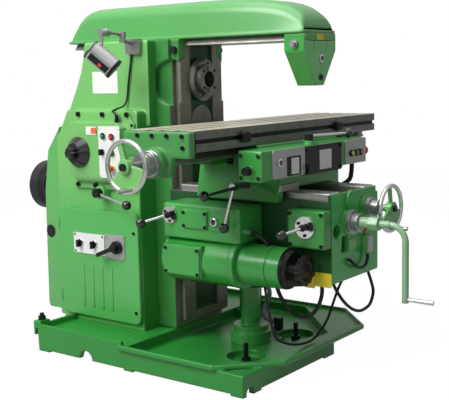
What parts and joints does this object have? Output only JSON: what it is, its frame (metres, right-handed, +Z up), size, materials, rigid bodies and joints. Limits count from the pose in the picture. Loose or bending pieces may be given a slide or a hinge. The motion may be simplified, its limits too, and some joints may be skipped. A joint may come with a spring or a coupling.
{
  "type": "horizontal milling machine",
  "caption": "Knee-type horizontal milling machine: column with overarm and arbor support, knee, saddle and T-slotted table with power feeds, levers and handwheels, on a tray base.",
  "frame": {"origin": "on the floor, in the machine's mid-plane, below the face of the column ways", "axes": "+X to the operator's right, +Y from the operator towards the column, +Z up"},
  "size_m": [1.648, 2.135, 1.506],
  "materials": {
    "green_paint": "satin enamel on castings",
    "wheel_paint": "satin enamel with a bright rim",
    "machined_steel": "ground and oiled",
    "lever_steel": "polished rods with black balls",
    "black_plastic": "moulded",
    "plate_metal": "printed and plain sheet",
    "motor_grey": "satin",
    "lamp_silver": "bright",
    "cable_rubber": "matt",
    "hose_grey": "ribbed",
    "button_green": "moulded",
    "button_red": "moulded",
    "button_yellow": "moulded"
  },
  "bodies": {
    "frame": {"base": "green_paint", "pedestal": "green_paint", "anchor_bolts": "machined_steel", "column": "green_paint", "rear_cover": "green_paint", "main_motor": "motor_grey", "spindle_bearings": "machined_steel", "speed_box": "green_paint", "control_panel": "plate_metal", "column_fittings": "plate_metal", "lamp_bracket": "machined_steel", "lamp_cable": "cable_rubber", "coolant_pump": "green_paint", "coolant_hose": "hose_grey"},
    "door": {"cabinet_door": "green_paint", "switch_plates": "plate_metal"},
    "support": {"arbor_support": "green_paint", "support_fittings": "machined_steel"},
    "knee": {"knee": "green_paint", "lift_screw": "machined_steel", "feed_box": "green_paint", "feed_motor": "green_paint", "lever_box": "green_paint", "knee_fittings": "green_paint", "cable_left": "cable_rubber", "cable_low": "cable_rubber", "cable_right": "cable_rubber"},
    "saddle": {"saddle": "green_paint", "saddle_box": "green_paint", "saddle_plates": "plate_metal"},
    "table": {"table": "machined_steel", "table_brackets": "green_paint"},
    "spindle": {"spindle": "machined_steel"},
    "speed_dial": {"speed_dial": "black_plastic"},
    "speed_lever": {"speed_lever": "lever_steel"},
    "start_button": {"start_button": "button_green"},
    "stop_button": {"stop_button": "button_red"},
    "jog_button": {"jog_button": "button_yellow"},
    "panel_estop": {"panel_estop": "button_red"},
    "panel_selector": {"panel_selector": "black_plastic"},
    "main_switch": {"main_switch": "black_plastic"},
    "selector_left": {"selector_left": "black_plastic"},
    "selector_right": {"selector_right": "black_plastic"},
    "overarm": {"overarm": "green_paint"},
    "lamp_arm": {"lamp_arm": "machined_steel"},
    "lamp_head": {"lamp_head": "lamp_silver"},
    "feed_dial": {"feed_dial": "black_plastic"},
    "front_lever": {"front_lever": "lever_steel"},
    "rear_lever": {"rear_lever": "lever_steel"},
    "crank": {"crank": "wheel_paint"},
    "cross_wheel": {"cross_wheel": "wheel_paint"},
    "table_lever": {"table_lever": "lever_steel"},
    "clamp_lever": {"clamp_lever": "lever_steel"},
    "lock_lever": {"lock_lever": "lever_steel"},
    "feed_jog": {"feed_jog": "button_yellow"},
    "feed_start": {"feed_start": "button_green"},
    "feed_stop": {"feed_stop": "button_red"},
    "saddle_estop": {"saddle_estop": "button_red"},
    "lead_screw": {"lead_screw": "machined_steel"},
    "table_wheel": {"table_wheel": "wheel_paint"}
  },
  "joints": [
    {"name": "spindle_spin", "type": "hinge", "parent": "frame", "child": "spindle", "pos_m": [0, 0, 1.187], "axis": [0, 1, 0], "continuous": true},
    {"name": "speed_dial_turn", "type": "hinge", "parent": "frame", "child": "speed_dial", "pos_m": [-0.322, 0.448, 0.879], "axis": [1, 0, 0], "continuous": true},
    {"name": "speed_lever_turn", "type": "hinge", "parent": "frame", "child": "speed_lever", "pos_m": [-0.324, 0.343, 0.703], "axis": [1, 0, 0], "range_deg": [-15, 45]},
    {"name": "start_push", "type": "slide", "parent": "frame", "child": "start_button", "axis": [1, 0, 0], "range_m": [0, 0.004], "stiffness_N_per_m": 400},
    {"name": "stop_push", "type": "slide", "parent": "frame", "child": "stop_button", "axis": [1, 0, 0], "range_m": [0, 0.004], "stiffness_N_per_m": 400},
    {"name": "jog_push", "type": "slide", "parent": "frame", "child": "jog_button", "axis": [1, 0, 0], "range_m": [0, 0.004], "stiffness_N_per_m": 400},
    {"name": "panel_estop_push", "type": "slide", "parent": "frame", "child": "panel_estop", "axis": [1, 0, 0], "range_m": [0, 0.004], "stiffness_N_per_m": 400},
    {"name": "panel_selector_turn", "type": "hinge", "parent": "frame", "child": "panel_selector", "pos_m": [-0.326, 0.299, 0.885], "axis": [1, 0, 0], "range_deg": [-45, 45]},
    {"name": "door_swing", "type": "hinge", "parent": "frame", "child": "door", "pos_m": [-0.29, 0.633, 0.372], "axis": [0, 0, -1], "range_deg": [0, 60]},
    {"name": "main_switch_turn", "type": "hinge", "parent": "door", "child": "main_switch", "pos_m": [-0.294, 0.262, 0.463], "axis": [1, 0, 0], "range_deg": [0, 90]},
    {"name": "selector_left_turn", "type": "hinge", "parent": "door", "child": "selector_left", "pos_m": [-0.294, 0.492, 0.463], "axis": [1, 0, 0], "range_deg": [-60, 60]},
    {"name": "selector_right_turn", "type": "hinge", "parent": "door", "child": "selector_right", "pos_m": [-0.294, 0.404, 0.463], "axis": [1, 0, 0], "range_deg": [-60, 60]},
    {"name": "overarm_slide", "type": "slide", "parent": "frame", "child": "overarm", "axis": [0, 1, 0], "range_m": [-0.12, 0.2]},
    {"name": "support_slide", "type": "slide", "parent": "overarm", "child": "support", "axis": [0, 1, 0], "range_m": [0, 0.2]},
    {"name": "lamp_swing", "type": "hinge", "parent": "frame", "child": "lamp_arm", "pos_m": [-0.285, 0.195, 1.384], "axis": [0, 0, 1], "range_deg": [-50, 50]},
    {"name": "lamp_tilt", "type": "hinge", "parent": "lamp_arm", "child": "lamp_head", "pos_m": [-0.397, 0.192, 1.39], "axis": [1, 0, 0], "range_deg": [-30, 35]},
    {"name": "knee_slide", "type": "slide", "parent": "frame", "child": "knee", "axis": [0, 0, 1], "range_m": [-0.19, 0.13], "deforming": ["cable_left", "cable_low", "cable_right"]},
    {"name": "feed_dial_turn", "type": "hinge", "parent": "knee", "child": "feed_dial", "pos_m": [-0.272, -0.622, 0.462], "axis": [0, 1, 0], "continuous": true},
    {"name": "front_lever_tilt", "type": "hinge", "parent": "knee", "child": "front_lever", "pos_m": [-0.2613, -0.678, 0.623], "axis": [0, 1, 0], "range_deg": [-15, 15]},
    {"name": "rear_lever_tilt", "type": "hinge", "parent": "knee", "child": "rear_lever", "pos_m": [-0.3733, -0.1, 0.646], "axis": [0, 1, 0], "range_deg": [-15, 15]},
    {"name": "crank_turn", "type": "hinge", "parent": "knee", "child": "crank", "pos_m": [-0.06, -0.772, 0.628], "axis": [0, 1, 0], "continuous": true},
    {"name": "cross_wheel_turn", "type": "hinge", "parent": "knee", "child": "cross_wheel", "pos_m": [0.085, -0.772, 0.668], "axis": [0, 1, 0], "continuous": true},
    {"name": "saddle_slide", "type": "slide", "parent": "knee", "child": "saddle", "axis": [0, 1, 0], "range_m": [-0.136, 0.119]},
    {"name": "table_lever_turn", "type": "hinge", "parent": "saddle", "child": "table_lever", "pos_m": [-0.059, -0.585, 0.95], "axis": [0, 0, 1], "range_deg": [-60, 5]},
    {"name": "clamp_lever_turn", "type": "hinge", "parent": "saddle", "child": "clamp_lever", "pos_m": [-0.4, -0.52, 0.795], "axis": [0, 0, 1], "range_deg": [0, 40]},
    {"name": "lock_lever_turn", "type": "hinge", "parent": "saddle", "child": "lock_lever", "pos_m": [-0.368, -0.446, 0.78], "axis": [1, 0, 0], "range_deg": [-30, 30]},
    {"name": "feed_jog_push", "type": "slide", "parent": "saddle", "child": "feed_jog", "axis": [0, 1, 0], "range_m": [0, 0.004], "stiffness_N_per_m": 400},
    {"name": "feed_start_push", "type": "slide", "parent": "saddle", "child": "feed_start", "axis": [0, 1, 0], "range_m": [0, 0.004], "stiffness_N_per_m": 400},
    {"name": "feed_stop_push", "type": "slide", "parent": "saddle", "child": "feed_stop", "axis": [0, 1, 0], "range_m": [0, 0.004], "stiffness_N_per_m": 400},
    {"name": "saddle_estop_push", "type": "slide", "parent": "saddle", "child": "saddle_estop", "axis": [-1, 0, 0], "range_m": [0, 0.004], "stiffness_N_per_m": 400},
    {"name": "table_slide", "type": "slide", "parent": "saddle", "child": "table", "axis": [1, 0, 0], "range_m": [-0.35, 0.35]},
    {"name": "table_wheel_turn", "type": "hinge", "parent": "table", "child": "table_wheel", "pos_m": [-0.724, -0.334, 0.897], "axis": [1, 0, 0], "continuous": true},
    {"name": "lead_screw_turn", "type": "hinge", "parent": "table", "child": "lead_screw", "pos_m": [0, -0.334, 0.897], "axis": [1, 0, 0], "continuous": true}
  ],
  "couplings": [
    {"joint": "rear_lever_tilt", "follows": "front_lever_tilt", "ratio": 1},
    {"joint": "lead_screw_turn", "follows": "table_wheel_turn", "ratio": 1}
  ]
}
